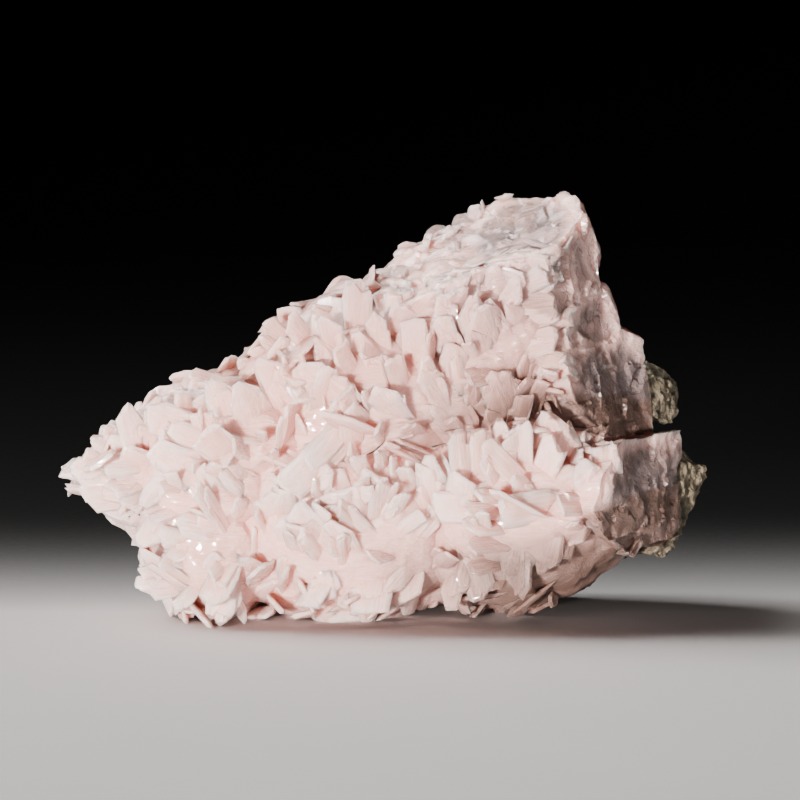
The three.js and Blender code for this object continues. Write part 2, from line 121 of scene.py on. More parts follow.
# Crystals of the crust by area: root x and height, tip x and height, width, turn of the
# broad face in degrees, and how far the tip stands out from the crust
BLADES = {
    "left_tip": [
        (-86, 52, -110, 53, 11, 15, 0), (-88, 46, -107, 43.5, 11, -20, 0), (-98, 56, -105.5, 59.5, 5, 10, 1),
        (-95, 60, -102.5, 64.5, 5, 30, 1), (-92, 62, -99, 68.5, 6, 10, 1), (-87, 58, -91, 76.5, 10, 20, 2),
        (-83, 58, -81, 79, 7, 10, 4), (-70, 68, -77.5, 70, 4, 20, 4), (-68, 70, -73, 80.5, 7, 20, 2),
        (-84, 50, -97, 47, 8, 25, 4), (-80, 56, -93, 60, 8, -15, 4), (-80, 47, -92, 41, 7, 10, 4),
        (-70, 60, -79, 66, 6, 30, 5), (-65, 63, -79.5, 54.5, 6, 20, 6), (-73, 44, -76, 53, 5, -25, 6),
        (-78, 66, -87, 68, 6, -30, 3), (-90, 50, -101, 56, 7, 20, 3),
    ],
    "left_shoulder": [
        (-50, 84, -70, 86.5, 7, 35, 2), (-50, 60, -60, 85, 14, 0, 4), (-46, 66, -52, 84, 12, 25, 5),
        (-58, 56, -66, 74, 9, -15, 5), (-65, 64, -66, 76, 7, 70, 5), (-61, 56, -69, 54.5, 5, -30, 7),
        (-44, 58, -54, 62, 8, 20, 6), (-42, 60, -45, 67.5, 4, -20, 6), (-41, 55, -40.5, 62, 3.5, 20, 6),
        (-55, 66, -63, 66, 7, 30, 4), (-60, 76, -68, 78, 7, -20, 3), (-53, 70, -61, 74, 7, 30, 5),
        (-55, 48, -62, 57, 7, -30, 6), (-70, 50, -80, 48, 6, 35, 5),
    ],
    "lower_left": [
        (-69, 23, -80, 22, 7, 10, 3), (-72, 14, -88, 13.5, 9, 20, 1), (-76, 18, -87, 18.5, 5, 20, 1),
        (-65, 16, -74.5, 5.5, 6, 20, 4), (-58, 22, -60, -6, 14, 0, 5), (-61, 34, -78, 25, 9, 15, 4),
        (-52, 29, -66.5, 48.5, 7, 35, 7), (-52, 28, -62, 17, 6, -20, 6), (-82, 24, -87, 20, 4, 0, 1),
        (-80, 30, -88, 31, 6, 20, 1), (-80, 36, -93, 37.5, 6, -15, 1), (-70, 42, -84, 37, 8, 20, 3),
        (-66, 30, -80, 32, 7, -25, 4), (-50, 12, -57, 6, 7, 30, 4), (-66, 8, -72, 2.5, 5, 20, 2),
    ],
    "standing": [
        (-38, 6, -41, 47, 15, -12, 11), (-50, 5, -48, 25.5, 10, 18, 7), (-31, 17, -33, 35, 9, -35, 7),
        (-21, 20, -30, 6.5, 9, 20, 4), (-17, 14, -17, 6.5, 4, 0, 3), (-16, 12, -17, 33.5, 6, 25, 6),
        (-13, 35, -17, 47, 6, 0, 6), (-22, 43, -28, 50, 5, 20, 6), (-22, 24, -30, 37, 13, 20, 6),
        (-44, 30, -47, 40, 6, 60, 6), (-36, 8, -38, 20, 9, 35, 8), (-26, 30, -24, 42, 8, -25, 5),
    ],
    "upper_left": [
        (-44, 88, -53, 91, 5, 20, 1), (-41, 92, -49, 95.5, 5, -20, 1), (-38, 95, -46, 99.5, 5, 20, 1),
        (-36, 98, -43.5, 105, 6, 0, 1), (-34, 70, -41, 93, 16, -15, 6), (-29, 107, -31, 91, 7, 10, 6),
        (-30, 84, -38, 90, 6, 35, 5), (-29, 64, -22, 89, 7, 25, 10), (-10, 73, -37, 46, 12, -15, 8),
        (-8, 64, -17, 80, 11, 20, 6), (-28, 96, -36, 106, 8, 20, 2), (-20, 92, -22, 106, 9, -25, 4),
        (-40, 78, -46, 90, 6, 60, 5), (-20, 104, -26, 111.5, 7, 10, 2), (-22, 56, -30, 62, 6, 40, 6),
        (-12, 84, -19, 96, 8, 25, 5),
    ],
    "upper_middle": [
        (-13, 98, -13.5, 118.5, 8, 10, 4), (4, 99, 10, 119, 18, 5, 9), (23, 87, 16, 106, 8, -25, 7),
        (37, 84, 27, 108.5, 12, 12, 8), (42, 88, 24.5, 84, 9, 30, 7), (42, 103, 32.5, 108, 5, 20, 6),
        (29, 88, 25, 98, 5, -25, 6), (2, 78, -4.5, 92, 6, 65, 7), (9.5, 64, 0, 92, 8, 25, 8),
        (27.5, 64, 8, 91, 9, 12, 8), (-4, 94, -6, 108, 8, -30, 5), (20, 100, 22, 116, 8, 30, 4),
        (-2, 106, -6, 122, 8, 20, 3), (-16, 74, -19, 86, 7, -25, 5), (-4, 72, -10, 82, 7, 30, 5),
        (18, 78, 12, 88, 7, -20, 6), (30, 74, 26, 84, 6, 30, 5),
    ],
    "centre": [
        (-10, 57, -15.5, 61.5, 5, 20, 6), (-6, 48, -13, 59.5, 6, 20, 7), (10, 46, 3, 55.5, 6, -20, 7),
        (14, 33, 11, 59, 11, -18, 11), (23, 36, 21, 69, 8, 30, 8), (30, 48, 28, 68.5, 7, 20, 7),
        (51, 45, 30, 63, 8, 15, 8), (36, 47, 31, 58.5, 6, 30, 7), (0, 60, -6, 69, 7, 30, 5),
        (12, 62, 4, 70, 7, -25, 5), (-2, 52, -5, 62, 6, 40, 6), (38, 58, 36, 72, 7, -25, 5),
    ],
    "lower_middle": [
        (-8, 32, -18, 44, 7, 35, 6), (-7, 32, -11, 51, 8, 40, 7), (-4, 32, -3, 51, 8, 35, 7),
        (-2, 32, 4, 46, 7, 40, 6), (-4, 26, 10.5, 39.5, 6, 20, 7), (14, 14, 20, 26, 7, 20, 6),
        (-5, 18, -9, 4.5, 15, 15, 4), (8, 20, 2, 6, 12, 25, 3), (22, 20, 18, 6, 9, 30, 2),
        (26, 28, 24, 12, 8, -20, 3), (2, 26, -8, 24, 8, 30, 4), (-12, 26, -22, 28, 7, 20, 4),
    ],
    "crest": [
        (43, 68, 35, 88, 15, 12, 5), (40, 64, 45, 80, 7, 20, 7), (44, 71, 51, 85, 6, 25, 6),
        (49, 73, 54, 87, 7, 20, 5), (54, 73, 61, 91, 7, 20, 4), (45, 54, 44, 71, 7, -22, 7),
        (52, 58, 55, 74, 13, 15, 5), (62, 56, 62, 71, 12, 20, 4), (72, 55, 72, 67.5, 11, 20, 2),
        (50, 50, 56, 66, 10, -20, 6), (40, 54, 40, 66, 7, 30, 6), (63, 44, 66, 58, 10, 20, 4),
    ],
    "rosette": [
        (42, 40, 24, 40.5, 8, 38, 8), (42, 34, 24, 34.5, 8, 35, 9), (42, 28, 25, 28, 8, 38, 9),
        (42, 22, 26, 21, 8, 30, 7), (41, 45, 28, 46, 7, 40, 8), (32, 26, 30, 39.5, 5, -20, 10),
        (52, 38, 44, 16, 20, 5, 6), (51, 41, 40, 52, 7, 20, 7), (67, 30, 60, 36, 6, -30, 5),
        (68, 35, 61, 28, 5, 30, 5), (38, 18, 30, 11, 8, 20, 4), (62, 34, 56, 22, 9, -20, 5),
        (66, 40, 56, 42, 8, 25, 5),
    ],
    "upper_right": [
        (30, 122, 55, 124, 14, 12, 4), (34, 118, 57, 117, 9, -20, 3), (36, 130, 53, 131, 9, 20, 3),
        (42, 104, 56, 110, 11, 20, 3), (40, 94, 56, 99, 10, -20, 3), (46, 96, 41, 112, 9, 20, 5),
        (34, 104, 44, 118, 8, -25, 3), (24, 112, 27, 126, 10, 15, 2), (46, 84, 52, 97, 8, 25, 4),
    ],
}

# Thin brown cracks and specks in the front view: the places along each, and its width
CRACKS = [
    ([(-9, 59), (-6, 60.5), (-3.5, 63)], 0.35),
    ([(13.5, 61.7), (18, 63)], 0.3),
    ([(17.5, 67), (23.4, 68.3)], 0.3),
    ([(-90.2, 37.8), (-89.6, 38.0)], 0.5),
    ([(-88.6, 39.8), (-88.0, 39.6)], 0.6),
    ([(-86.8, 38.3), (-86.3, 38.6)], 0.5),
    ([(-85.4, 40.2), (-84.9, 40.0)], 0.6),
]

# From how far in front of the lobes they are cut, how deep into them, and the tone that marks their walls
CRACK_FRONT = 22.0
CRACK_DEPTH = 0.5
CRACK_TONE = -1.0

# A plate's form, between a slab and a lens: places across from rim to rim and the height there
SLAB = np.array([(-1.0, 0.0), (-0.86, 0.8), (0.0, 1.0), (0.84, 0.78), (1.0, 0.0)])
LENS = np.array([(-1.0, 0.0), (-0.62, 0.5), (0.0, 1.0), (0.66, 0.52), (1.0, 0.0)])

# Its thickness, and how much of it lies over its middle plane; the distance between its rows; then as
# shares of its width where its point lies, how far its two tip edges run back, how blunt it is and how
# uneven its rim is, and as shares of its length how far it bends and twists
THICKNESS = (1.0, 0.13)
PLATE_UPPER = 0.62
PLATE_ROW = 7.0
POINT_OFFSET = (-0.42, 0.42)
SHOULDER = (0.1, 0.8)
BLUNT = (0.0, 0.4)
SCALLOP = 0.016
BEND = (-0.04, 0.04)
TWIST = (-0.08, 0.08)

# Its width at the root, what it gains from there and over which share of its length; how much of its length
# its tip may take; how far before the end its last inner row lies, as a share of its width; from which share
# of its length it is thinner, and how thick it is there; how far its ridge may lie off its middle line
ROOT_WIDTH = 0.85
WIDENING = 0.15
WIDENS_OVER = 0.5
LONGEST_TIP = 0.7
LAST_ROW = 0.12
THIN_FROM = 0.85
THIN_END = 0.8
RIDGE_OFFSET = 0.4

# How far apart the grains of two plates lie, so that no two look alike
GRAIN_SPREAD = 500

# The plates beside the main one of a crystal, as shares of its length and width, and angles in degrees
SIDE_LENGTH = (0.6, 0.97)
SIDE_WIDTH = (0.4, 0.8)
SIDE_OFFSET = (-0.35, 0.35)
SIDE_SWING = (-5, 5)
SIDE_TILT = (-5, 5)
SIDE_DEPTH = (-0.3, 0.6)
SIDE_THICKNESS = 0.75

# A named crystal wider than the first of these has two side plates, wider than the second three
WIDE, WIDER = 6, 11

# How much thicker the massive calcite is here than in the solids, which leave out the small crystals
GROWN = 2.2

# Small crystals over the whole crust: how many to try, how far apart they are, their size, how steeply they
# stand out and how deep they are rooted, in front and where the crust turns away from it
GROUND = {
    "tries": 16000,
    "spacing": 6.9,
    "length": (10.0, 25.0),
    "width": (6.0, 13.0),
    "lean": (0.0, 0.32),
    "depth": 1.6,
    "side_lean": (0.04, 0.26),
    "side_depth": 0.6,
}

# Crystals that lie flat on the broken top
TOP = {
    "tries": 1500,
    "spacing": 7.0,
    "length": (10.0, 20.0),
    "width": (7.0, 13.0),
    "lean": (0.0, 0.1),
    "depth": 4.2,
    "side_lean": (0.0, 0.1),
    "side_depth": 4.2,
}

# Small crystals are rooted at least this high over the floor, at most this far outside a break, and inside
# the bed and, on the broken top, the lobes, by these shares of their reach; there are none where the crust
# looks right by more than BARE_FACING beyond BARE_BEYOND, because it is broken there
FLOOR_CLEARANCE = 1
PAST_BREAK = 2
INSIDE_BED = 0.985
INSIDE_LOBE = 0.98
BARE_FACING = 0.35
BARE_BEYOND = 50

# How near a named crystal has to be for a small one to follow it, and how much the small one goes its own
# way; how much commoner small sizes are, how far faces turn, and from which size a crystal is a pair
FOLLOW_WITHIN = 16
OWN_WAY = 0.5
SIZE_POWER = 1.4
TURN_SPREAD = 32
PAIR_FROM = 0.4

# Where the crust has turned away from the front, by the y of its outward direction; how far a small crystal
# may stand out of the lobes' outline in the front view, how it is shortened if it would stand out further,
# and how far any crystal may stand out of a break
TURNED_AWAY = -0.4
MOST_OVERHANG = 5.0
SHORTENED = 0.6
BREAK_STEP = 2.0

# Faces of the crust remember where they come from
CRYSTAL, MASSIVE, BROKEN, BED, FOOT = range(5)

# Subdivisions and swells of the balls that the lumps start from
LOBE_BALL = (5, 1.2)
BED_BALL = (6, 2.5)
PATCH_BALL = (5, 3.0)
ROCK_BACK_BALL = (6, 4.0)
ROCK_UNDER_BALL = (6, 3.0)

# The block that keeps everything on the floor, and the height up to which the crust's foot stays as it is
FLOOR_DEPTH = 40.0
FOOT_HEIGHT = 0.5

# How rough each source's faces are, and how high and wide the facets of a break are, as height and
# spacing; how long an edge may be before it is halved, how often that is done, and when an edge is sharp
ROUGHNESS = {
    CRYSTAL: (0.12, 5.0),
    MASSIVE: (0.7, 6.0),
    BROKEN: (0.7, 16.0),
    BED: (1.4, 6.0),
    FOOT: (0.0, 5.0),
}
CLEAVAGE = ((1.9, 15.0), (1.3, 6.0))
LONGEST_EDGE = 1.9
REFINING_PASSES = 2
SHARP_ANGLE = math.radians(22)

# A facet's slope and step as shares of its height, and how far apart in the noise two facets read them; how
# the noise falls off and shrinks from octave to octave
FACET_SLOPE = 1.5
FACET_STEP = 0.5
FACET_SPREAD = 5.3
FALL_OFF = 0.8
LACUNARITY = 2.1

# Rounds of smoothing against which a vertex stands out: for the broad form, for edges, and on the rock
BROAD_ROUNDS = 40
EDGE_ROUNDS = 3
ROCK_ROUNDS = 6

# The host rock: size of its grid, and its lumps and grains as height and spacing; how far outside the bed
# they begin, how steeply they gain in height there, and up to which height over the floor they gain
ROCK_GRID = 1.0
ROCK_LUMPS = (1.8, 14.0)
ROCK_GRAINS = (1.6, 3.4)
BED_MARGIN = 1.5
BED_EASE = 60
FLOOR_EASE = 2

# The photograph's frame, across and where its middle lies in the front view, and how far off the camera is
FIELD = 275.0
AIM_X = 2.4
AIM_HEIGHT = 77.7
CAMERA_DISTANCE = 3500.0
SENSOR = 36.0


def between(limits, share):
    return limits[0] + share * (limits[1] - limits[0])


def unit(vector):
    return vector / np.linalg.norm(vector)


def ripple(points, spacing):
    """Uneven ground: a slow ripple in all directions, from -1 to 1."""
    k = 2 * math.pi / spacing
    x, y, z = points.T
    first = np.sin(k * (x + 0.4 * z) + 1.3)
    second = np.sin(k * 1.37 * (y - 0.3 * x) + 4.1)
    third = np.sin(k * 0.83 * (z + 0.5 * y) + 2.6)
    return (first + second + third) / 3


def turn_of(lobe):
    """A lobe's rotation: local to frame."""
    angle = math.radians(-lobe[2])
    c, s = math.cos(angle), math.sin(angle)
    return np.array([[c, 0, s], [0, 1, 0], [-s, 0, c]])


def reach_in(lobe, points):
    """How far out points lie in a lobe: 1 on its surface."""
    local = (points - np.array(lobe[0], float)) @ turn_of(lobe)
    return np.linalg.norm(local / np.array(lobe[1], float), axis=-1)


def over_lobes(points):
    """About how far points stand out of the nearest lobe, and how much its surface looks down there."""
    heights, falls = [], []
    for lobe in LOBES.values():
        centre, radii, turn = np.array(lobe[0], float), np.array(lobe[1], float), turn_of(lobe)
        reach = np.maximum(reach_in(lobe, points), 1e-6)
        heights.append((reach - 1) * np.linalg.norm(points - centre, axis=-1) / reach)
        outward = ((points - centre) @ turn / radii ** 2) @ turn.T
        falls.append(-outward[:, 2] / np.linalg.norm(outward, axis=1))
    nearest = np.argmin(heights, axis=0)[None]
    return [np.take_along_axis(np.array(values), nearest, 0)[0] for values in (heights, falls)]


# Objects and meshes

def in_scene(name, data):
    """A new object in the scene."""
    item = bpy.data.objects.new(name, data)
    bpy.context.scene.collection.objects.link(item)
    return item


def evaluated(item):
    """A new mesh: the object's after its modifiers."""
    return bpy.data.meshes.new_from_object(item.evaluated_get(bpy.context.evaluated_depsgraph_get()))


def values_of(items, name, width=3, kind=float):
    """One value of all items, in rows of this width."""
    values = np.empty(width * len(items), dtype=kind)
    items.foreach_get(name, values)
    return values.reshape(-1, width)


def closed_mesh(name, points, faces, source, tone=0.5, grain=None):
    """A closed mesh whose faces know their source and tone, and whose corners know the crystal's grain."""
    mesh = bpy.data.meshes.new(name)
    mesh.from_pydata(points.tolist(), [], faces)
    mesh.attributes.new("source", "INT", "FACE").data.foreach_set("value", [source] * len(faces))
    mesh.attributes.new("tone", "FLOAT", "FACE").data.foreach_set("value", [tone] * len(faces))
    local = points if grain is None else grain
    corners = values_of(mesh.loops, "vertex_index", 1, np.int32)[:, 0]
    mesh.attributes.new("grain", "FLOAT_VECTOR", "CORNER").data.foreach_set("vector", local[corners].ravel())
    return mesh


@functools.lru_cache(maxsize=None)
def ball(subdivisions):
    bm = bmesh.new()
    bmesh.ops.create_icosphere(bm, subdivisions=subdivisions, radius=1.0)
    points = np.array([vertex.co[:] for vertex in bm.verts])
    faces = [[vertex.index for vertex in face.verts] for face in bm.faces]
    bm.free()
    return points / np.linalg.norm(points, axis=1, keepdims=True), faces


def lump(name, lobe, ball_and_swell, source, grown=0.0):
    """A rounded, rippled lump: grown by a distance all round, with its unevenness kept."""
    subdivisions, unevenness = ball_and_swell
    directions, faces = ball(subdivisions)
    swell = unevenness * ripple(directions * SWELL_RADIUS, SWELL_SPACING)
    local = directions * (np.array(lobe[1], float) + grown + swell[:, None])
    return closed_mesh(name, local @ turn_of(lobe).T + np.array(lobe[0], float), faces, source)


def block(name, size, facets, frame_at, source, rough=0.0):
    """A box that stands on its frame's XY plane, its lower face cut into facets and made uneven."""
    (width, height, depth), (columns, rows) = size, facets
    xs, ys = np.linspace(-width / 2, width / 2, columns + 1), np.linspace(-height / 2, height / 2, rows + 1)
    x, y = [values.ravel() for values in np.meshgrid(xs, ys, indexing="ij")]
    low = np.column_stack([x, y, np.zeros_like(x)])
    base = low @ frame_at[0].T + frame_at[1]
    base += frame_at[0][:, 2] * (rough * ripple(base, BREAK_SPACING))[:, None]
    signs = ((-1, -1), (1, -1), (1, 1), (-1, 1))
    top = np.array([[sx * width / 2, sy * height / 2, depth] for sx, sy in signs])
    points = np.vstack([base, top @ frame_at[0].T + frame_at[1]])
    at = np.arange(len(base)).reshape(columns + 1, rows + 1)
    corners = np.stack([at[:-1, :-1], at[:-1, 1:], at[1:, 1:], at[1:, :-1]], axis=-1)
    faces = corners.reshape(-1, 4).tolist()
    a, b, c, d = range(len(base), len(base) + 4)
    faces.append([a, b, c, d])
    faces.append([*at[:, 0].tolist(), b, a])
    faces.append([*at[-1, :].tolist(), c, b])
    faces.append([*at[::-1, -1].tolist(), d, c])
    faces.append([*at[0, ::-1].tolist(), a, d])
    return closed_mesh(name, points, faces, source)


def facing_basis(facing):
    """A broken face's frame: across it, up it and out of it."""
    outward = unit(np.array(facing))
    side = unit(np.cross([0, 0, 1], outward))
    return np.column_stack([side, np.cross(outward, side), outward])


def break_blocks(outside=0.0):
    """What the broken faces take away, from a distance outside of them."""
    blocks = []
    for name, (at, facing, size, rough) in BREAKS.items():
        basis = facing_basis(facing)
        facets = [round(span / BREAK_FACET) for span in size]
        frame_at = (basis, np.array(at, float) + basis[:, 2] * outside)
        blocks.append(block(name, (*size, size[0]), facets, frame_at, BROKEN, rough))
    return blocks


def floor_block():
    basis = np.diag([1.0, -1.0, -1.0])
    return block("floor_cut", (REACH, REACH, FLOOR_DEPTH), (1, 1), (basis, np.zeros(3)), FOOT)


def plate(length, width, thickness, rng):
    """One thin crystal along +X with its broad side up: parallel sides, a two-edged tip, bevelled rims."""
    half, point = width / 2, width * between(POINT_OFFSET, rng.random())
    runs = [min(width * between(SHOULDER, rng.random()), LONGEST_TIP * length) for _ in range(2)]
    blunt = between(BLUNT, rng.random())
    body = np.linspace(0, length - max(runs), max(3, round((length - max(runs)) / PLATE_ROW) + 1))
    rows_at = np.unique(np.append(body, [length - min(runs), length - LAST_ROW * width, length]))[:, None]
    form = LENS + (SLAB - LENS) * rng.random()
    rows, columns = len(rows_at), len(form)
    side = half * (ROOT_WIDTH + WIDENING * np.minimum(rows_at / (WIDENS_OVER * length), 1))
    edges = []
    for sign, run in zip((-1, 1), runs):
        narrowing = (1 - blunt) * np.clip((rows_at - length + run) / run, 0, 1)
        scallops = rng.normal(0, SCALLOP * width, (rows, 1))
        edges.append(sign * side * (1 - narrowing) + point * narrowing + scallops)
    across = form[None, :, 0].copy()
    across[0, columns // 2] = rng.uniform(-RIDGE_OFFSET, RIDGE_OFFSET)
    v = edges[0] + (edges[1] - edges[0]) * (across + 1) / 2
    u = rows_at + rng.normal(0, SCALLOP * width, (rows, columns)) * (rows_at / length) ** 2
    height = form[None, :, 1] * np.where(rows_at > THIN_FROM * length, THIN_END, 1)
    height[0] = 0
    height[-1] = 0
    share = rows_at / length
    sweep = between(BEND, rng.random()) * length * share ** 2 + between(TWIST, rng.random()) * v * share
    above = np.stack([u, v, sweep + thickness * PLATE_UPPER * height], axis=-1)
    below = np.stack([u, v, sweep - thickness * (1 - PLATE_UPPER) * height], axis=-1)
    inner = below[1:-1, 1:-1].reshape(-1, 3)
    points = np.vstack([above.reshape(-1, 3), inner])
    upper = np.arange(rows * columns).reshape(rows, columns)
    lower = upper.copy()
    lower[1:-1, 1:-1] = rows * columns + np.arange(len(inner)).reshape(rows - 2, columns - 2)
    faces = []
    for i in range(rows - 1):
        for j in range(columns - 1):
            faces.append([upper[i, j], upper[i + 1, j], upper[i + 1, j + 1], upper[i, j + 1]])
            faces.append([lower[i, j], lower[i, j + 1], lower[i + 1, j + 1], lower[i + 1, j]])
    return points, [[int(index) for index in face] for face in faces]


def turned(vector, axis, degrees):
    """A vector turned about an axis."""
    angle = math.radians(degrees)
    along = axis * (vector @ axis)
    return along + (vector - along) * math.cos(angle) + np.cross(axis, vector) * math.sin(angle)


def placed_plate(name, origin, axis, face, length, width, thickness, tone, rng):
    local, faces = plate(length, width, thickness, rng)
    basis = np.column_stack([axis, np.cross(face, axis), face])
    grain = local + rng.uniform(-GRAIN_SPREAD, GRAIN_SPREAD, 3)
    return closed_mesh(name, local @ basis.T + origin, faces, CRYSTAL, tone, grain)


def bundle(name, root, tip, width, looks, turn, rng, sides):
    """A crystal from its root to its tip: one full plate and some shorter, narrower ones along it."""
    axis = unit(tip - root)
    length = np.linalg.norm(tip - root)
    face = turned(unit(looks - axis * (looks @ axis)), axis, turn)
    thickness = THICKNESS[0] + THICKNESS[1] * width
    tone = rng.random()
    plates = [placed_plate(name, root, axis, face, length, width, thickness, tone, rng)]
    for _ in range(sides):
        swung = turned(axis, face, between(SIDE_SWING, rng.random()))
        tilted = turned(face, swung, between(SIDE_TILT, rng.random()))
        across = np.cross(face, axis)
        beside = root + across * width * between(SIDE_OFFSET, rng.random())
        beside = beside + face * thickness * between(SIDE_DEPTH, rng.random())
        own_length = length * between(SIDE_LENGTH, rng.random())
        own_width = width * between(SIDE_WIDTH, rng.random())
        own_tone = 0.7 * tone + 0.3 * rng.random()
        parts = (own_length, own_width, thickness * SIDE_THICKNESS, own_tone)
        plates.append(placed_plate(name, beside, swung, tilted, *parts, rng))
    return plates


def surface_at(x, height):
    """Where a line of sight of the front view first meets the lobes: point, outward direction, distance."""
    start = np.array([x, 0, (height - VIEW_FLOOR) / math.cos(VIEW_ELEVATION)])
    best = None
    for lobe in LOBES.values():
        turn, radii = turn_of(lobe), np.array(lobe[1], float)
        begin = (start - np.array(lobe[0], float)) @ turn / radii
        step = VIEW_DIRECTION @ turn / radii
        a, b = step @ step, begin @ step
        inside = b * b - a * (begin @ begin - 1)
        miss = math.sqrt(max(0.0, -inside / a))
        distance = (-b - math.sqrt(max(0.0, inside))) / a
        if best is None or (miss, distance) < best[:2]:
            outward = unit((begin + step * distance) / radii) @ turn.T
            best = (miss, distance, outward)
    return start + VIEW_DIRECTION * best[1], best[2], best[1]


def named_crystals():
    """Root, tip, width and turn of each crystal that is placed in the front view."""
    crystals = []
    for root_x, root_height, tip_x, tip_height, width, turn, lift in sum(BLADES.values(), []):
        base, outward, near = surface_at(root_x, root_height)
        end, _, far = surface_at(tip_x, tip_height)
        span = math.hypot(tip_x - root_x, tip_height - root_height)
        falloff = max(0.0, far - near - MOST_FALL * span)
        tip = end - VIEW_DIRECTION * (falloff + lift + LEAST_LIFT)
        root = base - outward * ROOT_DEPTH
        if tip[2] < 0:
            tip = root + (tip - root) * root[2] / (root[2] - tip[2])
        crystals.append((root, tip, width, turn))
    return crystals


def crack_slots():
    """What the cracks take away: thin slots along the line of sight."""
    slots = []
    for path, width in CRACKS:
        for start, end in zip(path, path[1:]):
            ends = [surface_at(*start)[0], surface_at(*end)[0]]
            across = unit(np.cross(ends[1] - ends[0], VIEW_DIRECTION)) * width / 2
            corners = itertools.product(ends, (-CRACK_FRONT, CRACK_DEPTH), (-1, 1))
            points = np.array([end + VIEW_DIRECTION * depth + across * side for end, depth, side in corners])
            faces = [[0, 1, 3, 2], [4, 6, 7, 5], [0, 4, 5, 1], [2, 3, 7, 6], [0, 2, 6, 4], [1, 5, 7, 3]]
            slots.append(closed_mesh("crack", points, faces, CRYSTAL, CRACK_TONE))
    return slots


def ground_places(rng):
    """Places for small crystals all over the lobes, clear of the breaks, the bed and the floor."""
    lobes = list(LOBES.values())
    picked = rng.integers(len(lobes), size=GROUND["tries"])
    directions = rng.normal(size=(GROUND["tries"], 3))
    directions /= np.linalg.norm(directions, axis=1, keepdims=True)
    kept = []
    for index, lobe in enumerate(lobes):
        mine = np.flatnonzero(picked == index)
        radii, turn = np.array(lobe[1], float), turn_of(lobe)
        points = (directions[mine] * radii) @ turn.T + np.array(lobe[0], float)
        outward = (directions[mine] / radii) @ turn.T
        outward /= np.linalg.norm(outward, axis=1, keepdims=True)
        free = points[:, 2] > FLOOR_CLEARANCE
        for other in lobes:
            if other is not lobe:
                free &= reach_in(other, points) > 1
        for bed in BEDS.values():
            free &= reach_in(bed, points) < INSIDE_BED
        for at, facing, _, _ in BREAKS.values():
            free &= (points - np.array(at, float)) @ unit(np.array(facing)) < PAST_BREAK
        free &= (outward[:, 0] < BARE_FACING) | (points[:, 0] < BARE_BEYOND)
        kept.extend(zip(points[free], outward[free]))
    return kept


def top_places(rng):
    """Places on the broken top, inside the lobes and the bed."""
    at, facing, size, _ = BREAKS["top"]
    basis = facing_basis(facing)
    flat = rng.uniform(-0.5, 0.5, (TOP["tries"], 2)) * size
    points = flat @ basis[:, :2].T + np.array(at, float)
    inside = np.min([reach_in(lobe, points) for lobe in LOBES.values()], axis=0) < INSIDE_LOBE
    for bed in BEDS.values():
        inside &= reach_in(bed, points) < INSIDE_BED
    return [(point, basis[:, 2]) for point in points[inside]]


def overhang(point):
    """About how far a point lies outside the lobes' outline in the front view."""
    gaps = []
    for centre, radii, tilt in LOBES.values():
        turn = turn_of((centre, radii, tilt))
        local = (point - np.array(centre, float)) @ turn / np.array(radii, float)
        step = unit(VIEW_DIRECTION @ turn / np.array(radii, float))
        gaps.append((np.linalg.norm(local - step * (local @ step)) - 1) * min(radii[0], radii[2]))
    return min(gaps)


def spread_out(places, spacing):
    """Those of the places that are further than the spacing from all that were kept before them."""
    cells, chosen = {}, []
    steps = list(itertools.product((-1, 0, 1), repeat=3))
    for point, outward in places:
        cell = np.floor(point / spacing).astype(int)
        others = [other for step in steps for other in cells.get(tuple(cell + step), [])]
        if all(np.linalg.norm(point - other) > spacing for other in others):
            cells.setdefault(tuple(cell), []).append(point)
            chosen.append((point, outward))
    return chosen


def small_crystals(kind, places, named, rng):
    """Small crystals between the named ones, which they roughly follow."""
    middles = np.array([(root + tip) / 2 for root, tip, _, _ in named])
    axes = np.array([unit(tip - root) for root, tip, _, _ in named])
    meshes = []
    for point, outward in spread_out(places, kind["spacing"]):
        gaps = np.linalg.norm(middles - point, axis=1)
        nearest = int(np.argmin(gaps))
        own = unit(rng.normal(size=3))
        near = gaps[nearest] < FOLLOW_WITHIN
        trend = axes[nearest] + OWN_WAY * own if near else own
        side = "side_" if outward[1] > TURNED_AWAY else ""
        lean = between(kind[side + "lean"], rng.random())
        along = unit(unit(trend - outward * (trend @ outward)) + outward * lean)
        size = rng.random() ** SIZE_POWER
        root = point + outward * (GROWN - kind[side + "depth"])
        tip = root + along * between(kind["length"], size)
        if overhang(tip) > MOST_OVERHANG:
            tip = root + (tip - root) * SHORTENED
        width = between(kind["width"], size)
        turn = rng.normal(0, TURN_SPREAD)
        if overhang(tip) < MOST_OVERHANG:
            meshes.extend(bundle("small", root, tip, width, outward, turn, rng, int(size > PAIR_FROM)))
    return meshes


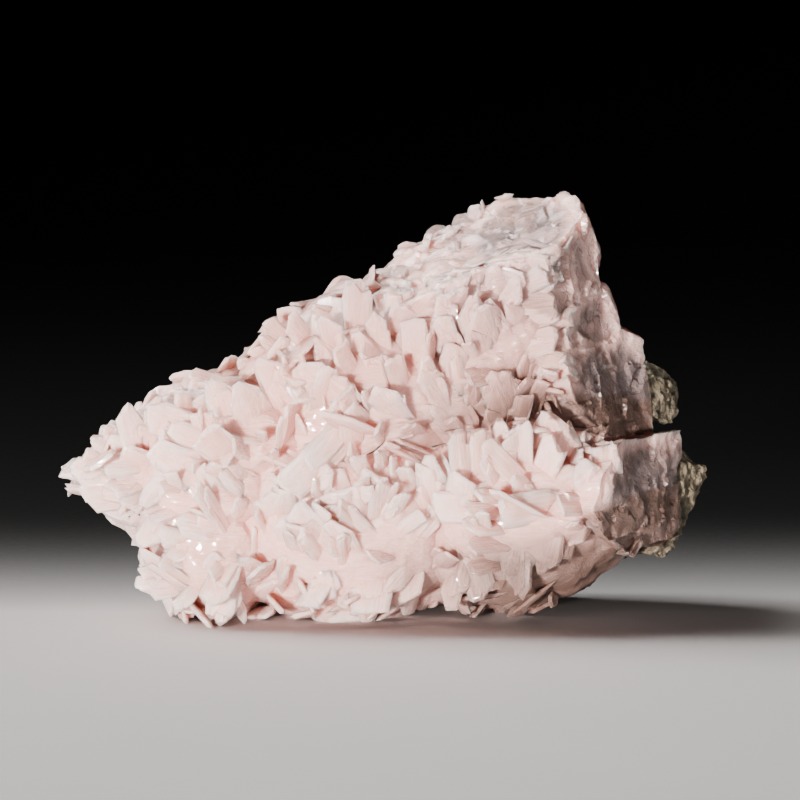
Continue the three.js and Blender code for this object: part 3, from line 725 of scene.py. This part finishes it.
def combined(operation, solids, whole=None):
    """One mesh from closed ones with a single Boolean node. The meshes given are used up."""
    bits = bpy.data.collections.new("bits")
    for mesh in solids:
        bits.objects.link(bpy.data.objects.new(mesh.name, mesh))
    tree = bpy.data.node_groups.new("combine", "GeometryNodeTree")
    tree.interface.new_socket("Geometry", in_out="INPUT", socket_type="NodeSocketGeometry")
    tree.interface.new_socket("Geometry", in_out="OUTPUT", socket_type="NodeSocketGeometry")
    given, result = tree.nodes.new("NodeGroupInput"), tree.nodes.new("NodeGroupOutput")
    parts = tree.nodes.new("GeometryNodeCollectionInfo")
    parts.inputs["Collection"].default_value = bits
    parts.inputs["Separate Children"].default_value = True
    join = tree.nodes.new("GeometryNodeMeshBoolean")
    join.operation = operation
    join.solver = "MANIFOLD"
    tree.links.new(parts.outputs[0], join.inputs[1])
    if whole:
        tree.links.new(given.outputs[0], join.inputs[0 if operation == "DIFFERENCE" else 1])
    tree.links.new(join.outputs[0], result.inputs[0])
    holder = in_scene("holder", whole or bpy.data.meshes.new("nothing"))
    modifier = holder.modifiers.new("combine", "NODES")
    modifier.node_group = tree
    mesh = evaluated(holder)
    used = [holder.data] + [item.data for item in bits.objects]
    for item in [holder, *bits.objects]:
        bpy.data.objects.remove(item)
    for data in used:
        bpy.data.meshes.remove(data)
    bpy.data.collections.remove(bits)
    bpy.data.node_groups.remove(tree)
    return mesh


def bed(grown):
    parts = [lump("bed_" + name, lobe, BED_BALL, BED, grown) for name, lobe in BEDS.items()]
    return combined("INTERSECT", parts)


def refined(mesh):
    """The mesh in triangles, with long edges halved, in their order, but not on crystals and foot."""
    bm = bmesh.new()
    bm.from_mesh(mesh)
    bmesh.ops.triangulate(bm, faces=bm.faces)
    source = bm.faces.layers.int["source"]
    for _ in range(REFINING_PASSES):
        edges = [
            edge for edge in bm.edges
            if edge.calc_length() > LONGEST_EDGE
            and any(face[source] in (MASSIVE, BROKEN, BED) for face in edge.link_faces)
        ]
        if not edges:
            break
        bmesh.ops.subdivide_edges(bm, edges=edges, cuts=1)
        bmesh.ops.triangulate(bm, faces=[face for face in bm.faces if len(face.verts) > 3])
    bm.to_mesh(mesh)
    bm.free()
    return mesh


def positions(mesh):
    return values_of(mesh.vertices, "co")


def normals(mesh):
    return values_of(mesh.vertex_normals, "vector")


def sources(mesh):
    return values_of(mesh.attributes["source"].data, "value", 1, np.int32)[:, 0]


def moved(mesh, points):
    mesh.vertices.foreach_set("co", points.ravel())
    mesh.update()


def moved_on_floor(mesh, points):
    """The mesh's vertices moved to these points, but none below the floor."""
    points[:, 2] = np.maximum(points[:, 2], 0)
    moved(mesh, points)


def at_vertices(mesh, by_face):
    """Face values, averaged over the faces round each vertex of a triangle mesh."""
    triples = values_of(mesh.loops, "vertex_index", 1, np.int64).reshape(-1, 3)
    count = len(mesh.vertices)
    total = sum(np.bincount(triples[:, k], by_face, count) for k in range(3))
    return total / np.maximum(sum(np.bincount(triples[:, k], minlength=count) for k in range(3)), 1)


def fractal(points, spacing, octaves=4):
    """Fractal noise from about -1 to 1."""
    scaled = points / spacing
    return np.array([noise.fractal(Vector(point), FALL_OFF, LACUNARITY, octaves) for point in scaled])


def cleaved(points, size):
    """Flat facets with small steps between them, as calcite breaks: from about -1 to 1."""
    heights = []
    for point in points / size:
        place = Vector(point)
        middle = noise.voronoi(place)[1][0]
        slope = noise.noise_vector(middle * FACET_SPREAD)
        heights.append(FACET_SLOPE * slope.dot(place - middle) + FACET_STEP * slope.z)
    return np.array(heights)


def roughened(mesh):
    """Unevenness along the normals, by where the faces come from; the flat foot stays."""
    points, outward = positions(mesh), normals(mesh)
    source = sources(mesh)
    still = at_vertices(mesh, (source == FOOT).astype(float)) > 0
    offset = np.zeros(len(points))
    still |= points[:, 2] < FOOT_HEIGHT
    for kind, (height, spacing) in ROUGHNESS.items():
        share = at_vertices(mesh, (source == kind).astype(float))
        some = (share > 0) & ~still
        if height and some.any():
            offset[some] += share[some] * height * fractal(points[some], spacing)
        if kind == BROKEN:
            for step, size in CLEAVAGE:
                offset[some] += share[some] * step * cleaved(points[some], size)
    moved_on_floor(mesh, points + outward * offset[:, None])
    return mesh


def relief(mesh, rounds):
    """How far each vertex stands out of the surface smoothed over its neighbours."""
    points = positions(mesh)
    a, b = values_of(mesh.edges, "vertices", 2, np.int64).T
    count = len(points)
    degree = np.maximum(np.bincount(a, minlength=count) + np.bincount(b, minlength=count), 1)
    smooth = points.copy()
    for _ in range(rounds):
        gathered = [
            np.bincount(a, smooth[b, k], count) + np.bincount(b, smooth[a, k], count)
            for k in range(3)
        ]
        smooth = 0.5 * smooth + 0.5 * np.stack(gathered, axis=-1) / degree[:, None]
    return np.einsum("ij,ij->i", points - smooth, normals(mesh))


def write_values(mesh, name, values):
    mesh.attributes.new(name, "FLOAT", "POINT").data.foreach_set("value", values.astype(np.float32))


def in_frame(mesh):
    """Millimetres before the shift to the frame's metres."""
    moved(mesh, (positions(mesh) + ORIGIN_SHIFT) * METRE)


def shown(name, mesh, material, node):
    piece = in_scene(name, mesh)
    mesh.materials.clear()
    mesh.materials.append(material)
    mesh.set_sharp_from_angle(angle=SHARP_ANGLE)
    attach(piece, "root")
    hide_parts(node)


def crust_mesh():
    rng = np.random.default_rng(SEED)
    noise.seed_set(SEED)
    named = named_crystals()
    toward_viewer = -VIEW_DIRECTION
    lumps = [lump(name, lobe, LOBE_BALL, MASSIVE, GROWN) for name, lobe in LOBES.items()]
    massive = combined("UNION", lumps)
    massive = combined("DIFFERENCE", break_blocks(), massive)
    crystals = []
    for root, tip, width, turn in named:
        sides = 1 + int(width > WIDE) + int(width > WIDER)
        crystals.extend(bundle("named", root, tip, width, toward_viewer, turn, rng, sides))
    crystals.extend(small_crystals(GROUND, ground_places(rng), named, rng))
    crystals.extend(small_crystals(TOP, top_places(rng), named, rng))
    crust = combined("UNION", crystals, massive)
    crust = combined("INTERSECT", [bed(0.0)], crust)
    crust = combined("DIFFERENCE", [*break_blocks(BREAK_STEP), *crack_slots(), floor_block()], crust)
    crust = roughened(refined(crust))
    height, fall = over_lobes(positions(crust))
    write_values(crust, "height", height)
    write_values(crust, "fall", fall)
    write_values(crust, "relief", relief(crust, BROAD_ROUNDS))
    write_values(crust, "edge", relief(crust, EDGE_ROUNDS))
    source = sources(crust)
    for kind, name in ((BROKEN, "broken"), (BED, "bed")):
        write_values(crust, name, at_vertices(crust, (source == kind).astype(float)))
    crust.polygons.foreach_set("use_smooth", source != CRYSTAL)
    in_frame(crust)
    return crust


def rock_mesh():
    lumps = [lump(name, lobe, PATCH_BALL, BED) for name, lobe in ROCK_PATCHES.items()]
    patches = combined("UNION", lumps)
    back = lump("rock_back", ROCK_BACK, ROCK_BACK_BALL, BED)
    under = lump("rock_under", ROCK_UNDER, ROCK_UNDER_BALL, BED)
    rock = combined("INTERSECT", [back, under], patches)
    rock = combined("DIFFERENCE", [bed(PIECE_GAP), *break_blocks(), floor_block()], rock)
    holder = in_scene("holder", rock)
    remesh = holder.modifiers.new("remesh", "REMESH")
    remesh.mode = "VOXEL"
    remesh.voxel_size = ROCK_GRID
    grid = evaluated(holder)
    bpy.data.objects.remove(holder)
    bpy.data.meshes.remove(rock)
    points, outward = positions(grid), normals(grid)
    wider = [(centre, np.array(radii) + BED_MARGIN, tilt) for centre, radii, tilt in BEDS.values()]
    beyond = np.maximum(*[reach_in(lobe, points) for lobe in wider]) - 1
    off_bed = np.clip(beyond * BED_EASE, 0, 1)
    grains = np.array([noise.voronoi(Vector(point / ROCK_GRAINS[1]))[0][0] for point in points])
    offset = ROCK_LUMPS[0] * fractal(points, ROCK_LUMPS[1], 6) + ROCK_GRAINS[0] * (0.5 - grains)
    off_floor = np.clip(points[:, 2] / FLOOR_EASE, 0, 1)
    moved_on_floor(grid, points + outward * (offset * off_bed * off_floor)[:, None])
    write_values(grid, "relief", relief(grid, ROCK_ROUNDS))
    grid.polygons.foreach_set("use_smooth", [True] * len(grid.polygons))
    in_frame(grid)
    return grid


# Materials

class Nodes:
    """A material's node tree with short calls to add nodes and join them."""

    def __init__(self, name):
        self.material = bpy.data.materials.new(name)
        self.material.use_nodes = True
        self.tree = self.material.node_tree
        self.shader = self.tree.nodes["Principled BSDF"]

    def fill(self, node, inputs):
        """Values, or links from other nodes' outputs, for a node's inputs."""
        for name, value in inputs.items():
            if isinstance(value, bpy.types.NodeSocket):
                self.tree.links.new(value, node.inputs[name])
            else:
                node.inputs[name].default_value = value

    def add(self, kind, inputs, output=0, **settings):
        """One output of a new node with these inputs and settings."""
        node = self.tree.nodes.new(kind)
        for key, value in settings.items():
            setattr(node, key, value)
        self.fill(node, inputs)
        return node.outputs[output]

    def place(self):
        return self.add("ShaderNodeTexCoord", {}, "Object")

    def attribute(self, name, output="Fac"):
        return self.add("ShaderNodeAttribute", {}, output, attribute_name=name)

    def scaled(self, vector, factors):
        return self.add("ShaderNodeMapping", {"Vector": vector, "Scale": factors})

    def along(self, axis, vector):
        return self.add("ShaderNodeSeparateXYZ", {"Vector": vector}, axis)

    def noise(self, vector, scale, detail=4.0, roughness=0.55):
        inputs = {"Vector": vector, "Scale": scale, "Detail": detail, "Roughness": roughness}
        return self.add("ShaderNodeTexNoise", inputs, "Fac")

    def cells(self, vector, scale):
        return self.add("ShaderNodeTexVoronoi", {"Vector": vector, "Scale": scale}, "Distance")

    def span(self, value, start, end, low=0.0, high=1.0):
        return self.add("ShaderNodeMapRange", dict(enumerate((value, start, end, low, high))), "Result")

    def math(self, operation, a, b=0.0):
        return self.add("ShaderNodeMath", {0: a, 1: b}, operation=operation)

    # A mix node has sockets of its own for colours and for single values

    def mixed(self, share, a, b):
        return self.add("ShaderNodeMix", {0: share, 6: a, 7: b}, 2, data_type="RGBA")

    def mixed_value(self, share, a, b):
        return self.add("ShaderNodeMix", {0: share, 2: a, 3: b}, 0, data_type="FLOAT")

    def bump(self, height, distance, strength=1.0, below=None):
        inputs = {"Strength": strength, "Distance": distance, "Height": height}
        if below is not None:
            inputs["Normal"] = below
        return self.add("ShaderNodeBump", inputs, "Normal")


# Colours of the calcite where it is whole, with painted shade in recesses and a painted glow at tips and
# edges, high up with painted shade and the top's own grey, broken, in painted shade underneath, stained and
# cracked
DEEP_PINK_AND_RECESS_SHADE = (0.81, 0.48, 0.42, 1)
BODY = (0.89, 0.585, 0.525, 1)
PALE_PINK_AND_TIP_GLOW = (0.92, 0.68, 0.625, 1)
MIDDLE_HEIGHT_SHADE = (0.55, 0.32, 0.28, 1)
TOP_GREY_AND_SHADE = (0.53, 0.405, 0.395, 1)
GLASSY = (0.205, 0.16, 0.155, 1)
FLESH = (0.335, 0.225, 0.20, 1)
SHADED = (0.14, 0.085, 0.065, 1)
STAINED = (0.42, 0.33, 0.24, 1)
CRACKED = (0.26, 0.15, 0.10, 1)


def calcite():
    """Milky pink calcite: painted shade in recesses, painted glow at tips, greyer and glassier where broken.
    """
    n = Nodes("pink_calcite")
    place = n.place()
    grain = n.attribute("grain", "Vector")
    broken, back, tone = n.attribute("broken"), n.attribute("bed"), n.attribute("tone")
    patches = n.noise(place, 45.0)
    depth = n.math("ADD", n.attribute("height"), n.span(patches, 0.3, 0.7, -2.5, 2.5))
    # Painted shade: a deeper, darker pink where the crust lies low in the recesses
    colour = n.mixed(n.span(depth, 0.0, 6.5), DEEP_PINK_AND_RECESS_SHADE, BODY)
    # Painted glow: paler where the crust stands out
    colour = n.mixed(n.span(n.attribute("relief"), 0.5, 5.0, 0.0, 0.85), colour, PALE_PINK_AND_TIP_GLOW)
    colour = n.mixed(n.span(tone, 0.5, 1.0, 0.0, 0.5), colour, PALE_PINK_AND_TIP_GLOW)
    colour = n.mixed(n.span(tone, 0.45, 0.0, 0.0, 0.6), colour, DEEP_PINK_AND_RECESS_SHADE)
    # Painted highlight: paler along edges
    colour = n.mixed(n.span(n.attribute("edge"), 0.15, 0.6, 0.0, 0.6), colour, PALE_PINK_AND_TIP_GLOW)
    streaks = n.noise(n.scaled(grain, (0.08, 0.9, 0.9)), 1.0, 6.0, 0.75)
    colour = n.mixed(n.span(streaks, 0.5, 0.65, 0.0, 0.8), colour, PALE_PINK_AND_TIP_GLOW)
    colour = n.mixed(n.span(streaks, 0.48, 0.35, 0.0, 0.7), colour, DEEP_PINK_AND_RECESS_SHADE)
    # Painted shade: darker and a deeper pink at middle height
    colour = n.mixed(n.span(n.along("Z", place), 0.055, 0.095, 0.0, 0.6), colour, MIDDLE_HEIGHT_SHADE)
    # The top's own grey, with painted shade that darkens it
    colour = n.mixed(n.span(n.along("Z", place), 0.095, 0.130, 0.0, 0.75), colour, TOP_GREY_AND_SHADE)
    inside = n.mixed(n.span(n.noise(place, 60.0, 3.0), 0.4, 0.62), GLASSY, FLESH)
    section = n.mixed(n.span(depth, -1.0, -6.0), BODY, inside)
    colour = n.mixed(broken, colour, section)
    right = n.span(n.along("X", place), -0.01, 0.04)
    under = n.math("MULTIPLY", n.span(n.attribute("fall"), 0.0, 0.45), right)
    colour = n.mixed(n.math("MULTIPLY", under, 0.9), colour, SHADED)
    stain = n.math("MULTIPLY", back, n.span(n.noise(place, 90.0), 0.35, 0.6, 0.2, 1.0))
    colour = n.mixed(stain, colour, STAINED)
    colour = n.mixed(n.span(tone, -0.2, -0.8), colour, CRACKED)
    uneven = n.span(n.noise(grain, 0.35), 0.3, 0.7, 0.0, 0.12)
    rough = n.math("ADD", uneven, n.span(tone, 0.0, 1.0, 0.06, 0.22))
    rough = n.mixed_value(broken, rough, 0.16)
    stripes = n.noise(n.scaled(grain, (0.12, 0.9, 0.9)), 1.0, 5.0, 0.7)
    fine = n.noise(place, 700.0, 3.0)
    facets = n.math("MULTIPLY", n.cells(place, 230.0), n.span(broken, 0.0, 1.0, 0.3, 1.0))
    lumps = n.bump(facets, 0.003, 0.5)
    striated = n.bump(stripes, 0.003, 0.6, lumps)
    n.fill(n.shader, {
        "Base Color": colour,
        "Roughness": rough,
        "Normal": n.bump(fine, 0.0005, 0.3, striated),
        "Subsurface Weight": 1.0,
        "Subsurface Radius": (1.0, 0.86, 0.8),
        "Subsurface Scale": 0.0048,
        "IOR": 1.6,
        "Coat Weight": 0.5,
        "Coat Roughness": 0.12,
        "Coat IOR": 1.6,
    })
    return n.material


# Colours of the host rock: its ground from dark to light, its grains, its pits and painted shade in its
# hollows
ROCK_DARK = (0.07, 0.06, 0.038, 1)
ROCK_LIGHT = (0.17, 0.14, 0.09, 1)
ROCK_TAN = (0.34, 0.29, 0.20, 1)
ROCK_PIT = (0.02, 0.017, 0.012, 1)
ROCK_HOLLOW_SHADE = (0.025, 0.021, 0.015, 1)


def granular_rock():
    """Olive brown, granular host rock with dark pits and tan grains."""
    n = Nodes("host_rock")
    place = n.place()
    grains = n.noise(place, 380.0, 5.0, 0.65)
    colour = n.mixed(n.span(n.noise(place, 60.0), 0.35, 0.65), ROCK_DARK, ROCK_LIGHT)
    colour = n.mixed(n.span(grains, 0.5, 0.68, 0.0, 0.9), colour, ROCK_TAN)
    colour = n.mixed(n.span(grains, 0.46, 0.36, 0.0, 0.9), colour, ROCK_PIT)
    # Painted shade: near black where the surface lies in hollows
    colour = n.mixed(n.span(n.attribute("relief"), 0.0, -0.5, 0.0, 0.85), colour, ROCK_HOLLOW_SHADE)
    rough = n.span(grains, 0.3, 0.7, 0.75, 0.95)
    coarse = n.bump(n.cells(place, 420.0), 0.0016, 0.8)
    normal = n.bump(grains, 0.0022, 0.9, coarse)
    n.fill(n.shader, {"Base Color": colour, "Roughness": rough, "Normal": normal})
    return n.material


# The floor's colours near and far, the far one painted shade, where it has turned dark, and half its size
FLOOR_GREY = (0.43, 0.42, 0.42, 1)
FLOOR_PALE = (0.46, 0.45, 0.45, 1)
FLOOR_FAR_SHADE = (0.004, 0.004, 0.004, 1)
FLOOR_TURNS = 0.26
FLOOR_HALF = 2.5


def pale_floor():
    """A pale sheet with painted shade that turns it black towards its far end."""
    n = Nodes("pale_floor")
    place = n.place()
    pale = n.mixed(n.noise(place, 8.0), FLOOR_GREY, FLOOR_PALE)
    # Painted shade: from pale to black over the floor's far part
    share = n.math("POWER", n.span(n.along("Y", place), 0.0, FLOOR_TURNS, 1.0, 0.0), 3.0)
    colour = n.mixed(share, FLOOR_FAR_SHADE, pale)
    rough = n.span(n.noise(place, 300.0), 0.3, 0.7, 0.8, 0.9)
    n.fill(n.shader, {"Base Color": colour, "Roughness": rough, "Specular IOR Level": 0.1})
    return n.material


# Studio

def floor():
    bm = bmesh.new()
    bmesh.ops.create_grid(bm, x_segments=2, y_segments=2, size=FLOOR_HALF)
    mesh = bpy.data.meshes.new("floor")
    bm.to_mesh(mesh)
    bm.free()
    mesh.materials.append(pale_floor())
    plane = in_scene("floor", mesh)


def placed_light(kind, name, place, aim, power, colour):
    light = bpy.data.lights.new(name, kind)
    light.energy = power
    light.color = colour
    lamp = in_scene(name, light)
    lamp.location = place
    lamp.rotation_euler = (Vector(aim) - Vector(place)).to_track_quat("-Z", "Y").to_euler()
    return light


def soft_box(name, place, aim, size, spread, power, colour):
    light = placed_light("AREA", name, place, aim, power, colour)
    light.shape = "RECTANGLE"
    light.size, light.size_y = size
    light.spread = math.radians(spread)


def soft_spot(name, place, aim, radius, angle, blend, power, colour):
    light = placed_light("SPOT", name, place, aim, power, colour)
    light.shadow_soft_size = radius
    light.spot_size = math.radians(angle)
    light.spot_blend = blend


# Where the key and the glint light stand, the spots' colour and that of the dim world
KEY_PLACE = (-1.3, 0.3, 1.5)
WHITE = (1.0, 0.98, 0.96)
DIM = (0.006, 0.006, 0.006, 1)


def studio():
    """A wide spot from the upper left, a small one for glints, and low boxes on the camera's two sides."""
    floor()
    soft_spot("key", KEY_PLACE, (0.0, -0.5, 0.0), 0.8, 50, 0.6, 490.0, WHITE)
    soft_spot("glint", KEY_PLACE, (0.0, 0.0, 0.06), 0.18, 20, 0.6, 110.0, WHITE)
    soft_box("front", (-1.3, -2.6, 0.06), (0, 0, 0.07), (1.2, 0.1), 11, 5.3, (1.0, 0.87, 0.83))
    soft_box("fill", (1.6, -2.4, 0.12), (0.03, 0, 0.07), (1.2, 0.2), 14, 0.6, (1.0, 0.95, 0.93))
    world = bpy.data.worlds.new("studio")
    world.use_nodes = True
    world.node_tree.nodes["Background"].inputs["Color"].default_value = DIM
    bpy.context.scene.world = world


def camera():
    up = np.array([0.0, math.sin(VIEW_ELEVATION), math.cos(VIEW_ELEVATION)])
    aim = ORIGIN_SHIFT + np.array([AIM_X, 0.0, 0.0]) + up * (AIM_HEIGHT - VIEW_FLOOR)
    lens = bpy.data.cameras.new("camera")
    lens.sensor_width = SENSOR
    lens.lens = SENSOR * CAMERA_DISTANCE / FIELD
    lens.clip_end = 20.0
    viewer = in_scene("camera", lens)
    viewer.location = (aim - VIEW_DIRECTION * CAMERA_DISTANCE) * METRE
    viewer.rotation_euler = Vector(VIEW_DIRECTION).to_track_quat("-Z", "Y").to_euler()
    bpy.context.scene.camera = viewer


shown("calcite_crust", crust_mesh(), calcite(), "calcite_cluster")
shown("rock_sheet", rock_mesh(), granular_rock(), "host_rock")
studio()
camera()
